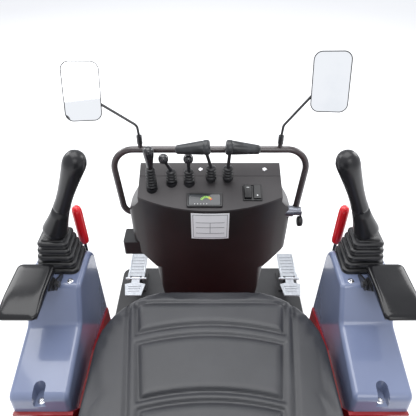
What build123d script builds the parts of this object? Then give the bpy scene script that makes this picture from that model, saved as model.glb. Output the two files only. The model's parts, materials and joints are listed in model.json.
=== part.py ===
from build123d import *
import os
from math import cos, radians, sin, sqrt

# Operator's station of a small excavator: floor plate, seat, two side consoles and lever console.
# Millimetres. +Y is forwards, +X is the operator's right, Z = 0 is the underside of the floor plate.

# ---- driving dimensions -------------------------------------------------------------------------
deck_length = 1030.0
deck_rear_width = 740.0
deck_front_width = 620.0
deck_waist_y = 112.0
deck_waist_run = 60.0
deck_thickness = 6.0
deck_corner = 30.0
deck_bolt_x = 570.0
deck_bolt_y = 940.0
deck_bolt_radius = 6.5

# seat base, folded from sheet
sheet = 3.0
base_half_width = 353.0
base_rear = -385.0
base_front = 62.0
base_centre_top = 300.0
tower_inner = 246.0
tower_front = 98.0
tower_front_top = 318.0
tower_shelf_y = -40.0
tower_shelf_z = 352.0
tower_step_y = -162.0
tower_rear_top = 388.0
tower_ledge = 6.0
base_corner = 6.0

# side consoles
pod_wall = 4.0
pod_inner = 250.0
pod_width = 106.0
pod_front = 104.0
pod_rear = -186.0
pod_top = 525.0
platform_rear = -10.0
crease_y = -52.0
crease_z = 458.0
heel_y = -181.0
heel_z = 426.0
pod_edge = 9.0
pod_nose = 36.0
pod_brow = 12.0
pod_crease = 20.0
pod_heel = 16.0
slot_width = 21.0
slot_depth = 24.0
slot_run = 34.0

# screws in the covers
screw_radius = 4.5
screw_height = 3.0
ledge_screw_x = 271.0

# joysticks, whose profile is given as shares of the stick's own reach
stick_x = 300.0
stick_y = 55.0
bellows_width = 82.0
bellows_depth = 76.0
bellows_tiers = 5
tier_height = 15.0
tier_step = 5.6
tier_groove = 4.0
stick_lean_x = 90.0
stick_lean_y = -30.0
stick_rise = 197.0
collar_radius = 23.0
grip_neck_radius = 13.0
grip_head_radius = 19.5

# armrests
arm_pad_width = 70.0
arm_pad_length = 120.0
arm_pad_thickness = 18.0
arm_pad_top = 569.0
arm_pad_front = 7.0
arm_pad_inner = 292.0
ear_inset = -4.0
arm_plate = 4.0
arm_pivot_y = -18.0
arm_pivot_z = 536.0
arm_pin_radius = 4.0
ear_gap = 1.0

# lock levers
lock_x = 272.0
lock_gap = 14.0
lock_rod_radius = 3.5
lock_grip_radius = 10.5
lock_foot_z = 446.0
lock_grip_low = 516.0
lock_grip_top = 616.0

# seat
seat_half_width = 241.0
cushion_front = 75.0
cushion_rear = -352.0
cushion_base = 341.0
cushion_top = 430.0
cushion_corner = 150.0
cushion_heel = 60.0
pan_thickness = 4.0
pan_half_width = 185.0
rail_x = 150.0
rail_width = 34.0
rail_height = 20.0
rail_wall = 3.0
rail_length = 380.0
rail_gap = 1.0

# backrest
back_hinge_y = -376.0
back_hinge_z = 432.0
back_recline = 12.0
back_low = 26.0
back_high = 405.0
back_half_width = 212.0
back_thickness = 72.0
back_shell = 4.0
back_corner = 70.0
hinge_plate = 5.0
hinge_plate_x = 222.0
hinge_pin_radius = 6.0
running_clearance = 0.06

# lever console
head_wall = 4.0
panel_thickness = 4.0
head_near = 206.0
head_far = 330.0
head_arc = 442.0
lip_z = 531.0
panel_rise = 0.42
head_top_half = 171.0
head_shoulder_half = 199.0
head_shoulder_z = 491.0
head_belly_half = 194.0
head_belly_z = 373.0
neck_half = 142.0
neck_z = 324.0
foot_half = 96.0
head_corner = 24.0
seam_y = 294.0
seam_gap = 1.0

# hand levers, each at the panel, from the operator's left
lever_x = (-138.0, -92.0, -50.0, 2.0, 42.0)
lever_y = (262.0, 277.0, 277.0, 277.0, 277.0)
bead_radius = 13.0
bead_pitch = 7.6
short_beads = 4
tall_beads = 7
knob_z = 631.0
knob_lean = (-15.0, 0.0)
pear_top = 668.0
lever_rod_radius = 4.0
knob_radius = 12.0
pear_radius = 12.0
travel_grip_z = 665.0
travel_grip_y = 265.0
travel_boot_gap = 2.0
travel_beads = 3
travel_pin_radius = 3.0
travel_grip_droop = 5.0
travel_grip_wide = 17.0
travel_grip_narrow = 9.5
travel_grip_length = 78.0
travel_grip_shift = (-12.0, 2.0)

# instruments
display_x = -13.0
display_y = 232.0
display_width = 84.0
display_depth = 38.0
rocker_x = 100.0
rocker_y = 251.0
rocker_width = 22.0
rocker_depth = 40.0
label_width = 90.0
label_height = 79.0
label_base = 444.0
label_thickness = 0.8
key_y = 260.0
key_z = 487.0
key_radius = 11.0
key_length = 30.0
side_box_width = 58.0
side_box_depth = 54.0
side_box_y = 272.0
side_box_low = 352.0
side_box_height = 42.0

# grab rail and mirrors
rail_tube = 8.0
rail_tube_wall = 2.0
rail_top_bend = 48.0
rail_foot_bend = 26.0
rail_foot_y = 285.0
rail_foot_z = 462.0
rail_top_y = 308.0
rail_top_z = 634.0
rail_foot_half = 217.0
rail_top_half = 235.0
mirror_x = 163.0
mirror_socket_top = 650.0
mirror_nut_height = 20.0
mirror_socket_radius = 5.5
mirror_nut_radius = 6.5
mirror_rod = 3.0
mirror_bend_z = 696.0
mirror_width = 78.0
mirror_height = 124.0
mirror_depth = 9.0
mirror_corner = 18.0
mirror_yaw = 10.0
mirror_tilt = 20.0
mirror_centres = ((-274.0, 776.0), (253.0, 797.0))
mirror_rolls = (10.0, -6.0)
mirror_glass_depth = 1.5
mirror_lip = 2.0

# pedals
pedal_x = (-243.0, 263.0)
pedal_height = 96.0
pedal_width = 55.0
pedal_length = 104.0
pedal_rear = 396.0
pedal_plate = 6.0
flap_width = 66.0
flap_neck = 26.0
flap_length = 66.0
pedal_pin = 4.0

sides = (("left", -1), ("right", 1))
os.makedirs("parts", exist_ok=True)


def keep(piece, name):
    """Label a finished piece and write it."""
    piece.part.label = name
    export_step(piece.part, f"parts/{name}.step")


# top edge of the seat base's side towers, which the consoles sit on
tower_rim = (
    (tower_front, tower_front_top),
    (tower_shelf_y, tower_shelf_z),
    (tower_step_y, tower_shelf_z),
    (pod_rear, tower_rear_top),
)


def tower_top(y):
    """Height of the seat base's side towers at y, carried on in line in front of them."""
    for (front_y, front_z), (rear_y, rear_z) in zip(tower_rim, tower_rim[1:]):
        if y >= rear_y:
            return front_z + (front_y - y) * (rear_z - front_z) / (front_y - rear_y)
    return tower_rear_top


def upright_plane(foot, direction):
    """A plane through foot whose local Y runs along direction and whose local X is level."""
    level = Vector(-direction.Y, direction.X, 0)
    level = level.normalized() if level.length > 0 else Vector(1, 0, 0)
    return Plane(origin=foot, x_dir=level, z_dir=level.cross(direction))


def panel_z(y):
    """Height of the lever console's sloping top."""
    return lip_z + (y - head_near) * panel_rise


# ---- floor plate --------------------------------------------------------------------------------
with BuildPart() as floor_plate:
    with BuildSketch():
        with BuildLine():
            half = deck_length / 2
            waist_front = deck_waist_y + deck_waist_run
            Polyline(
                (-deck_rear_width / 2, -half),
                (deck_rear_width / 2, -half),
                (deck_rear_width / 2, deck_waist_y),
                (deck_front_width / 2, waist_front),
                (deck_front_width / 2, half),
                (-deck_front_width / 2, half),
                (-deck_front_width / 2, waist_front),
                (-deck_rear_width / 2, deck_waist_y),
                close=True,
            )
        outline = make_face()
        fillet(outline.vertices(), radius=deck_corner)
    extrude(amount=deck_thickness)
    with GridLocations(deck_bolt_x, deck_bolt_y, 2, 2):
        Hole(radius=deck_bolt_radius)
keep(floor_plate, "floor_plate")


# ---- seat base ----------------------------------------------------------------------------------
def base_block(skin):
    """The seat base's outer form, or, with a skin, the space inside its sheet."""
    foot = deck_thickness if skin == 0 else deck_thickness - 1
    rear = base_rear + skin
    with BuildPart() as block:
        with BuildSketch(Plane.YZ.offset(-base_half_width + skin)):
            with BuildLine():
                Polyline(
                    (rear, foot),
                    (base_front - skin, foot),
                    (base_front - skin, base_centre_top - skin),
                    (rear, base_centre_top - skin),
                    close=True,
                )
            make_face()
        extrude(amount=2 * (base_half_width - skin))
        tower_rear = pod_rear - tower_ledge + skin
        for low in (-base_half_width, tower_inner):
            with BuildSketch(Plane.YZ.offset(low + skin)):
                with BuildLine():
                    Polyline(
                        (tower_rear, foot),
                        (tower_front - skin, foot),
                        (tower_front - skin, tower_front_top - skin),
                        (tower_shelf_y - skin / 2, tower_shelf_z - skin),
                        (tower_step_y - skin, tower_shelf_z - skin),
                        (pod_rear, tower_rear_top - skin),
                        (tower_rear, tower_rear_top - skin),
                        close=True,
                    )
                make_face()
            extrude(amount=base_half_width - tower_inner - 2 * skin)
    return block.part


with BuildPart() as seat_base:
    add(base_block(0))
    uprights = seat_base.edges().filter_by(Axis.Z).group_by(Axis.Y)
    fillet(uprights[0] + uprights[-1], radius=base_corner)
    add(base_block(sheet), mode=Mode.SUBTRACT)
keep(seat_base, "seat_base")


# ---- side consoles ------------------------------------------------------------------------------
def pod_block(low_x, skin):
    """One side console's outer form, or, with a skin, the space inside its wall."""
    drop = 3 * skin
    with BuildPart() as block:
        with BuildSketch(Plane.YZ.offset(low_x + skin)):
            with BuildLine():
                run = FilletPolyline(
                    (pod_front, tower_top(pod_front) - drop),
                    (pod_front, pod_top),
                    (platform_rear, pod_top),
                    (crease_y, crease_z),
                    (heel_y, heel_z),
                    (pod_rear, tower_top(pod_rear) - drop),
                    radius=[pod_nose, pod_brow, pod_crease, pod_heel],
                )
                Polyline(
                    run @ 1,
                    (tower_step_y, tower_shelf_z - drop),
                    (tower_shelf_y, tower_shelf_z - drop),
                    run @ 0,
                )
            make_face()
            if skin:
                offset(amount=-skin, mode=Mode.REPLACE)
        extrude(amount=pod_width - 2 * skin)
        for flank in block.faces().filter_by(Axis.X):
            run_edges = [edge for edge in flank.edges() if edge.center().Z > tower_top(edge.center().Y) + 5]
            fillet(run_edges, radius=pod_edge - skin)
    return block.part


def slot_block(centre_x, skin):
    """The screw slot in a console's heel, or, with a skin, the slot with its own wall."""
    reach = slot_run + skin
    radius = slot_width / 2 + skin
    with BuildPart() as block:
        with BuildSketch(Plane.XY.offset(heel_z - slot_depth - skin)):
            with BuildLine():
                Line((centre_x - radius, pod_rear - 1), (centre_x + radius, pod_rear - 1))
                Line((centre_x + radius, pod_rear - 1), (centre_x + radius, pod_rear + reach - radius))
                ThreePointArc(
                    (centre_x + radius, pod_rear + reach - radius),
                    (centre_x, pod_rear + reach),
                    (centre_x - radius, pod_rear + reach - radius),
                )
                Line((centre_x - radius, pod_rear + reach - radius), (centre_x - radius, pod_rear - 1))
            make_face()
        extrude(amount=slot_depth + 3 * pod_wall)
    return block.part


ear_inner = arm_pad_inner + ear_inset
for side, sign in sides:
    centre_x = sign * (pod_inner + pod_width / 2)
    low_x = centre_x - pod_width / 2
    with BuildPart() as console_cover:
        add(pod_block(low_x, 0))
        add(pod_block(low_x, pod_wall), mode=Mode.SUBTRACT)
        with BuildPart(mode=Mode.PRIVATE) as slot_wall:
            add(slot_block(centre_x, pod_wall))
            add(pod_block(low_x, 0), mode=Mode.INTERSECT)
        add(slot_wall.part)
        add(slot_block(centre_x, 0), mode=Mode.SUBTRACT)
    keep(console_cover, f"{side}_console_cover")

    # joystick: a collar that flares onto the bellows and a grip with a round head, leaning inwards
    stick_foot = Vector(sign * stick_x, stick_y, pod_top + bellows_tiers * tier_height)
    lean = Vector(-sign * stick_lean_x, stick_lean_y, stick_rise)
    reach = lean.length
    collar_low = collar_radius * Vector(lean.X, lean.Y, 0).length / lean.Z + 0.5
    with BuildPart() as joystick:
        with BuildSketch(upright_plane(stick_foot, lean)):
            with BuildLine():
                profile = Polyline(
                    (0, collar_low),
                    (collar_radius, collar_low),
                    (collar_radius * 0.92, reach * 0.17),
                    (grip_neck_radius, reach * 0.26),
                    (grip_neck_radius, reach * 0.45),
                    (grip_head_radius, reach * 0.78),
                    (grip_head_radius, reach - grip_head_radius),
                )
                dome = RadiusArc(profile @ 1, (0, reach), -grip_head_radius)
                Line(dome @ 1, profile @ 0)
            make_face()
        revolve(axis=Axis(stick_foot, lean))
        with BuildSketch(Plane(stick_foot)):
            Circle(collar_radius * 0.7)
        extrude(amount=2 * collar_low)
    keep(joystick, f"{side}_joystick")

    # armrest: a plate with its pad, on a lug that tilts on the bracket's pin
    lug_inner = ear_inner + arm_plate + ear_gap
    pad_rear = arm_pad_front - arm_pad_length
    plate_top = arm_pad_top - arm_pad_thickness
    with BuildPart() as arm_carrier:
        lug_low_x = sign * (lug_inner + arm_plate / 2) - arm_plate / 2
        with BuildSketch(Plane.YZ.offset(lug_low_x)):
            with BuildLine():
                Polyline(
                    (arm_pivot_y + 8, arm_pivot_z - 8),
                    (arm_pivot_y + 8, plate_top - arm_plate),
                    (arm_pivot_y - 26, plate_top - arm_plate),
                    (arm_pivot_y - 8, arm_pivot_z - 8),
                    close=True,
                )
            make_face()
        extrude(amount=arm_plate)
        with BuildSketch(Plane.XY.offset(plate_top - arm_plate)):
            with Locations((sign * (arm_pad_inner + arm_pad_width / 2), (arm_pad_front + pad_rear) / 2)):
                Rectangle(arm_pad_width - 8, arm_pad_length - 16)
        extrude(amount=arm_plate)
        with BuildSketch(Plane.YZ.offset(sign * (lug_inner - 1))):
            with Locations((arm_pivot_y, arm_pivot_z)):
                Circle(arm_pin_radius + running_clearance)
        extrude(amount=sign * (arm_plate + 2), mode=Mode.SUBTRACT)
    keep(arm_carrier, f"{side}_armrest_carrier")

    with BuildPart() as arm_pad:
        with BuildSketch(Plane.XY.offset(plate_top)):
            with Locations((sign * (arm_pad_inner + arm_pad_width / 2), (arm_pad_front + pad_rear) / 2)):
                RectangleRounded(arm_pad_width, arm_pad_length, 6)
        extrude(amount=arm_pad_thickness)
        fillet(arm_pad.edges().group_by(Axis.Z)[-1], radius=4)
    keep(arm_pad, f"{side}_armrest_pad")


with BuildPart() as joystick_bellows:
    # square bellows: stacked tiers that get smaller upwards, with a groove between each pair
    for side, sign in sides:
        for tier in range(bellows_tiers):
            shrink = tier * tier_step
            base_z = pod_top + tier * tier_height
            with BuildSketch(Plane.XY.offset(base_z)):
                with Locations((sign * stick_x, stick_y)):
                    RectangleRounded(bellows_width - shrink, bellows_depth - shrink, 14)
            extrude(amount=tier_height - tier_groove)
            with BuildSketch(Plane.XY.offset(base_z + tier_height - tier_groove)):
                with Locations((sign * stick_x, stick_y)):
                    Rectangle(bellows_width - shrink - tier_step, bellows_depth - shrink - tier_step)
            extrude(amount=tier_groove)
keep(joystick_bellows, "joystick_bellows")

# lock levers: a foot on the console's front face, a rod and a round grip
foot_reach = lock_gap + lock_rod_radius + 2
with BuildPart() as lock_rods:
    for side, sign in sides:
        with BuildSketch(Plane.XY.offset(lock_foot_z)):
            with Locations((sign * lock_x, pod_front + lock_gap)):
                Circle(lock_rod_radius)
        extrude(amount=lock_grip_low - lock_foot_z)
        with BuildSketch(Plane.XY.offset(lock_foot_z)):
            with Locations((sign * lock_x, pod_front + foot_reach / 2)):
                Rectangle(3 * lock_rod_radius, foot_reach)
        extrude(amount=3 * lock_rod_radius)
keep(lock_rods, "lock_rods")

with BuildPart() as lock_grips:
    with BuildSketch(Plane.XY.offset(lock_grip_low)):
        with Locations((-lock_x, pod_front + lock_gap), (lock_x, pod_front + lock_gap)):
            Circle(lock_grip_radius)
    extrude(amount=lock_grip_top - lock_grip_low)
    fillet(lock_grips.edges().filter_by(GeomType.CIRCLE), radius=lock_grip_radius * 0.45)
keep(lock_grips, "lock_grips")

with BuildPart() as armrest_brackets:
    # an ear on each console carries the pin on which the armrest tilts
    for side, sign in sides:
        ear_low_x = sign * (ear_inner + arm_plate / 2) - arm_plate / 2
        with BuildSketch(Plane.YZ.offset(ear_low_x)):
            with BuildLine():
                Polyline(
                    (platform_rear + 2 * pod_brow, pod_top),
                    (platform_rear + 2 * pod_brow, pod_top + 6),
                    (arm_pivot_y + 6, arm_pivot_z + 8),
                    (arm_pivot_y - 8, arm_pivot_z + 8),
                    (arm_pivot_y - 8, arm_pivot_z - 8),
                    (platform_rear + pod_brow, pod_top),
                    close=True,
                )
            make_face()
        extrude(amount=arm_plate)
        inner_face = ear_low_x if sign > 0 else ear_low_x + arm_plate
        with BuildSketch(Plane.YZ.offset(inner_face)):
            with Locations((arm_pivot_y, arm_pivot_z)):
                Circle(arm_pin_radius)
        extrude(amount=sign * (2 * arm_plate + ear_gap + 0.5))
        with BuildSketch(Plane.YZ.offset(inner_face)):
            with Locations((arm_pivot_y, arm_pivot_z)):
                RegularPolygon(arm_pin_radius * 1.6, 6)
        extrude(amount=-sign * arm_pin_radius)
keep(armrest_brackets, "armrest_brackets")

with BuildPart() as console_cover_screws:
    # one screw on each platform's rear edge and one on the floor of each heel slot
    for side, sign in sides:
        with BuildSketch(Plane.XY.offset(pod_top)):
            with Locations((sign * ledge_screw_x, platform_rear + pod_brow)):
                Circle(screw_radius)
        extrude(amount=screw_height)
        with BuildSketch(Plane.XY.offset(heel_z - slot_depth)):
            with Locations((sign * (pod_inner + pod_width / 2), pod_rear + slot_width * 0.6)):
                Circle(screw_radius * 1.3)
        extrude(amount=screw_height)
keep(console_cover_screws, "console_cover_screws")


# ---- seat ---------------------------------------------------------------------------------------
rail_mid_y = (cushion_front + cushion_rear) / 2
with BuildPart() as slide_rails:
    with BuildSketch(Plane.XZ.offset(-rail_mid_y + rail_length / 2)):
        for sign in (-1, 1):
            with Locations((sign * rail_x, base_centre_top + rail_height / 2)):
                Rectangle(rail_width, rail_height)
            with Locations((sign * rail_x, base_centre_top + rail_height / 2 + rail_wall)):
                Rectangle(rail_width - 2 * rail_wall, rail_height, mode=Mode.SUBTRACT)
    extrude(amount=-rail_length)
keep(slide_rails, "slide_rails")

runner_width = rail_width - 2 * rail_wall - 2 * rail_gap
runner_base = base_centre_top + rail_wall + rail_gap
pan_base = cushion_base - pan_thickness
with BuildPart() as seat_runners:
    with BuildSketch(Plane.XZ.offset(-rail_mid_y + rail_length / 2 - 20)):
        for sign in (-1, 1):
            with Locations((sign * rail_x, (runner_base + pan_base) / 2)):
                Rectangle(runner_width, pan_base - runner_base)
    extrude(amount=-rail_length + 40)
keep(seat_runners, "seat_runners")

bracket_x = hinge_plate_x + hinge_plate + rail_gap
with BuildPart() as seat_pan:
    with BuildSketch(Plane.XY.offset(pan_base)):
        with Locations((0, rail_mid_y)):
            RectangleRounded(2 * pan_half_width, cushion_front - cushion_rear - 70, 30)
    extrude(amount=pan_thickness)
    flange_front = cushion_rear + 40
    flange_rear = back_hinge_y - 22
    with BuildSketch(Plane.XY.offset(pan_base)):
        with Locations((0, (flange_front + flange_rear) / 2)):
            Rectangle(2 * (bracket_x + hinge_plate), flange_front - flange_rear)
    extrude(amount=pan_thickness)
keep(seat_pan, "seat_pan")

with BuildPart() as hinge_brackets:
    for sign in (-1, 1):
        low_x = sign * (bracket_x + hinge_plate / 2) - hinge_plate / 2
        with BuildSketch(Plane.YZ.offset(low_x)):
            with BuildLine():
                Polyline(
                    (back_hinge_y - 20, pan_base + pan_thickness),
                    (cushion_rear - 4, pan_base + pan_thickness),
                    (cushion_rear - 4, pan_base + 30),
                    (back_hinge_y + 14, back_hinge_z + 10),
                    (back_hinge_y - 14, back_hinge_z + 10),
                    (back_hinge_y - 20, pan_base + 40),
                    close=True,
                )
            make_face()
        extrude(amount=hinge_plate)
        pin_face = low_x if sign > 0 else low_x + hinge_plate
        with BuildSketch(Plane.YZ.offset(pin_face)):
            with Locations((back_hinge_y, back_hinge_z)):
                Circle(hinge_pin_radius)
        extrude(amount=-sign * (hinge_plate + rail_gap + 2))
keep(hinge_brackets, "hinge_brackets")

# cushion: a block with a broad round nose and tighter heel corners
with BuildPart() as seat_cushion:
    with BuildSketch(Plane.XY.offset(cushion_base)):
        with Locations((0, rail_mid_y)):
            Rectangle(2 * seat_half_width, cushion_front - cushion_rear)
    extrude(amount=cushion_top - cushion_base)
    corners = seat_cushion.edges().filter_by(Axis.Z).group_by(Axis.Y)
    fillet(corners[-1], radius=cushion_corner)
    fillet(seat_cushion.edges().filter_by(Axis.Z).group_by(Axis.Y)[0], radius=cushion_heel)
    fillet(seat_cushion.edges().group_by(Axis.Z)[-1], radius=14)
keep(seat_cushion, "seat_cushion")

# backrest, drawn flat and then leaned back about its hinge
lean_plane = Plane(
    origin=(0, back_hinge_y, back_hinge_z),
    x_dir=(-1, 0, 0),
    z_dir=(0, cos(radians(back_recline)), sin(radians(back_recline))),
)


shell_face = -back_thickness / 2
with BuildPart() as backrest_cushion:
    with BuildSketch(lean_plane.offset(shell_face + back_shell + 0.5)):
        with Locations((0, (back_high + back_low) / 2)):
            RectangleRounded(2 * back_half_width, back_high - back_low, back_corner)
    extrude(amount=back_thickness - back_shell - 0.5)
    fillet(backrest_cushion.edges().sort_by(Axis.Y)[-8:], radius=14)
keep(backrest_cushion, "backrest_cushion")

with BuildPart() as backrest_shell:
    with BuildSketch(lean_plane.offset(shell_face)):
        with Locations((0, (back_high + back_low) / 2)):
            RectangleRounded(2 * back_half_width - 8, back_high - back_low - 8, back_corner - 4)
    extrude(amount=back_shell)
keep(backrest_shell, "backrest_shell")

# hinge arms stand beside the cushion and turn in behind it to reach the shell
arm_high = 150.0
arm_back = shell_face - hinge_plate
with BuildPart() as backrest_arms:
    for sign in (-1, 1):
        low_x = sign * (hinge_plate_x + hinge_plate / 2) - hinge_plate / 2
        side_plane = Plane(origin=lean_plane.origin, x_dir=lean_plane.z_dir, z_dir=(1, 0, 0))
        with BuildSketch(side_plane.offset(low_x)):
            with BuildLine():
                Polyline(
                    (arm_back, -16),
                    (16, -16),
                    (16, 14),
                    (arm_back + 24, arm_high),
                    (arm_back, arm_high),
                    close=True,
                )
            make_face()
            with Locations((0, 0)):
                Circle(hinge_pin_radius + running_clearance, mode=Mode.SUBTRACT)
        extrude(amount=hinge_plate)
    with BuildSketch(lean_plane.offset(arm_back)):
        with Locations((0, arm_high - 25)):
            Rectangle(2 * hinge_plate_x, 50)
    extrude(amount=hinge_plate)
keep(backrest_arms, "backrest_arms")


# ---- lever console ------------------------------------------------------------------------------
head_top = panel_z(head_far)


panel_plane = Plane(origin=(0, head_near, lip_z), x_dir=(1, 0, 0), z_dir=(0, -panel_rise, 1))


def plan_face(half, far, near, arc):
    """Level outline of the console: bowed towards the operator, straight at the far side."""
    corner_y = near + arc - sqrt(arc**2 - half**2)
    with BuildSketch(mode=Mode.PRIVATE) as plan:
        with BuildLine():
            bow = ThreePointArc((-half, corner_y), (0, near), (half, corner_y))
            Polyline(bow @ 1, (half, far), (-half, far), bow @ 0)
        outline = make_face()
        fillet(outline.vertices(), radius=head_corner)
    return plan.sketch


def head_block(skin):
    """The console head's outer form up to its sloping top, or the space inside its wall."""
    low = neck_z - 2 if skin else neck_z - 1
    with BuildPart() as block:
        with BuildSketch(Plane.XY.offset(low)):
            add(plan_face(head_shoulder_half - skin, head_far - skin, head_near + skin, head_arc - skin))
        extrude(amount=head_top - low)
        with BuildSketch(Plane.XZ.offset(-head_far - 1)):
            with BuildLine():
                right = Polyline(
                    (neck_half - skin, low),
                    (neck_half - skin + 0.1, neck_z),
                    (head_belly_half - skin, head_belly_z),
                    (head_shoulder_half - skin, head_shoulder_z),
                    (head_top_half - skin, lip_z),
                    (head_top_half - skin, head_top + 1),
                )
                mirror(right, about=Plane.YZ)
                Line((-(right @ 0).X, (right @ 0).Y), right @ 0)
                Line((-(right @ 1).X, (right @ 1).Y), right @ 1)
            make_face()
        extrude(amount=head_far - head_near + 2, mode=Mode.INTERSECT)
        split(bisect_by=panel_plane, keep=Keep.BOTTOM)
    return block.part


panel_under = panel_plane.offset(-panel_thickness)
seam_plane = Plane.XZ.offset(-seam_y)

with BuildPart() as console_head:
    add(head_block(0))
    split(bisect_by=panel_under, keep=Keep.BOTTOM)
    add(head_block(head_wall), mode=Mode.SUBTRACT)
keep(console_head, "console_head")

with BuildPart() as control_panel:
    add(head_block(0))
    split(bisect_by=panel_under, keep=Keep.TOP)
    split(bisect_by=seam_plane, keep=Keep.TOP)
keep(control_panel, "control_panel")

with BuildPart() as console_rear_cover:
    add(head_block(0))
    split(bisect_by=panel_under, keep=Keep.TOP)
    split(bisect_by=Plane.XZ.offset(-seam_y - seam_gap), keep=Keep.BOTTOM)
keep(console_rear_cover, "console_rear_cover")


def column_block(skin):
    """The console's foot, from the floor plate to the head, or the space inside its wall."""
    low = deck_thickness - 1 if skin else deck_thickness
    high = neck_z if skin else neck_z - 1
    with BuildPart() as block:
        with BuildSketch(Plane.XY.offset(low)):
            add(plan_face(neck_half - skin, head_far - skin, head_near + skin, head_arc - skin))
        extrude(amount=high - low)
        with BuildSketch(Plane.XZ.offset(-head_far - 1)):
            with BuildLine():
                Polyline(
                    (foot_half - skin, low),
                    (neck_half - skin, high),
                    (skin - neck_half, high),
                    (skin - foot_half, low),
                    close=True,
                )
            make_face()
        extrude(amount=head_far - head_near + 2, mode=Mode.INTERSECT)
    return block.part


with BuildPart() as console_column:
    add(column_block(0))
    add(column_block(head_wall), mode=Mode.SUBTRACT)
keep(console_column, "console_column")

# blank label, bent to the head's bow
with BuildPart() as label_plate:
    with BuildSketch(Plane.XY.offset(label_base)):
        with Locations((0, head_near + head_arc)):
            Circle(head_arc + label_thickness)
            Circle(head_arc, mode=Mode.SUBTRACT)
        with Locations((0, head_near)):
            Rectangle(label_width, 12, mode=Mode.INTERSECT)
    extrude(amount=label_height)
keep(label_plate, "label_plate")


def on_panel(x, y):
    """A plane that lies on the sloping panel at x, y, with its local X and Y along the panel."""
    return Plane(origin=(x, y, panel_z(y)), x_dir=(1, 0, 0), z_dir=(0, -panel_rise, 1))


with BuildPart() as display:
    with BuildSketch(on_panel(display_x, display_y)):
        RectangleRounded(display_width, display_depth, 4)
    extrude(amount=5)
    with BuildSketch(on_panel(display_x, display_y).offset(5)):
        RectangleRounded(display_width - 8, display_depth - 8, 2)
    extrude(amount=-1, mode=Mode.SUBTRACT)
keep(display, "display")

with BuildPart() as rocker_switches:
    with BuildSketch(on_panel(rocker_x, rocker_y)):
        RectangleRounded(2 * rocker_width + 2, rocker_depth + 4, 2)
    extrude(amount=3)
    for shift in (-rocker_width / 2, rocker_width / 2):
        with BuildSketch(on_panel(rocker_x + shift, rocker_y).offset(3)):
            Rectangle(rocker_width - 3, rocker_depth - 3)
        extrude(amount=4)
keep(rocker_switches, "rocker_switches")

with BuildPart() as console_screws:
    for x in (-23, 133):
        with BuildSketch(on_panel(x, (seam_y + head_far) / 2)):
            Circle(4)
        extrude(amount=2)
keep(console_screws, "console_screws")


# ---- hand levers --------------------------------------------------------------------------------
def beads_top(x, y, count):
    """The top centre of a ribbed boot that stands upright on the panel."""
    return Vector(x, y, panel_z(y) + bead_radius * panel_rise + count * bead_pitch)


def bead_stack(x, y, count):
    """A ribbed boot: rings of one width with narrow necks between them."""
    low = panel_z(y) - bead_radius * panel_rise
    with BuildPart() as stack:
        with BuildSketch(Plane.XY.offset(low)):
            with Locations((x, y)):
                Circle(bead_radius)
        extrude(amount=2 * bead_radius * panel_rise)
        split(bisect_by=panel_plane, keep=Keep.TOP)
        for ring in range(count):
            shrink = ring * 0.35
            base_z = low + 2 * bead_radius * panel_rise + ring * bead_pitch
            with BuildSketch(Plane.XY.offset(base_z)):
                with Locations((x, y)):
                    Circle(bead_radius - 3.5 - shrink)
            extrude(amount=bead_pitch)
            with BuildSketch(Plane.XY.offset(base_z + bead_pitch * 0.35)):
                with Locations((x, y)):
                    Circle(bead_radius - shrink)
            extrude(amount=bead_pitch * 0.65)
    return stack.part


def ball_lever(top, foot, radius):
    """A rod with a round knob."""
    direction = top - foot
    with BuildPart() as lever:
        with BuildSketch(upright_plane(foot, direction)):
            with BuildLine():
                shaft = Polyline(
                    (0, 0),
                    (lever_rod_radius, 0),
                    (lever_rod_radius, direction.length - sqrt(radius**2 - lever_rod_radius**2)),
                )
                crown = ThreePointArc(
                    shaft @ 1,
                    (radius, direction.length),
                    (0, direction.length + radius),
                )
                Line(crown @ 1, shaft @ 0)
            make_face()
        revolve(axis=Axis(foot, direction))
    return lever.part


with BuildPart() as lever_boots:
    # ribbed boots of the three small levers
    for x, y, count in zip(lever_x[:3], lever_y[:3], (tall_beads, short_beads, short_beads)):
        add(bead_stack(x, y, count))
keep(lever_boots, "lever_boots")

with BuildPart() as hand_levers:
    # the outer lever has a pear knob, the next two have round ones
    foot = beads_top(lever_x[0], lever_y[0], tall_beads)
    with BuildSketch(Plane.XZ.offset(-foot.Y)):
        with BuildLine():
            swell = Polyline(
                (foot.X, foot.Z),
                (foot.X + pear_radius * 0.5, foot.Z),
                (foot.X + pear_radius * 0.6, foot.Z + 14),
                (foot.X + pear_radius, pear_top - pear_radius),
            )
            crown = RadiusArc(swell @ 1, (foot.X, pear_top), -pear_radius)
            Line(crown @ 1, swell @ 0)
        make_face()
    revolve(axis=Axis(foot, (0, 0, 1)))
    for x, y, lean_x in zip(lever_x[1:3], lever_y[1:3], knob_lean):
        add(ball_lever(Vector(x + lean_x, y - 5, knob_z), beads_top(x, y, short_beads), knob_radius))
    add(lever_boots.part, mode=Mode.SUBTRACT)
keep(hand_levers, "hand_levers")

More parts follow.
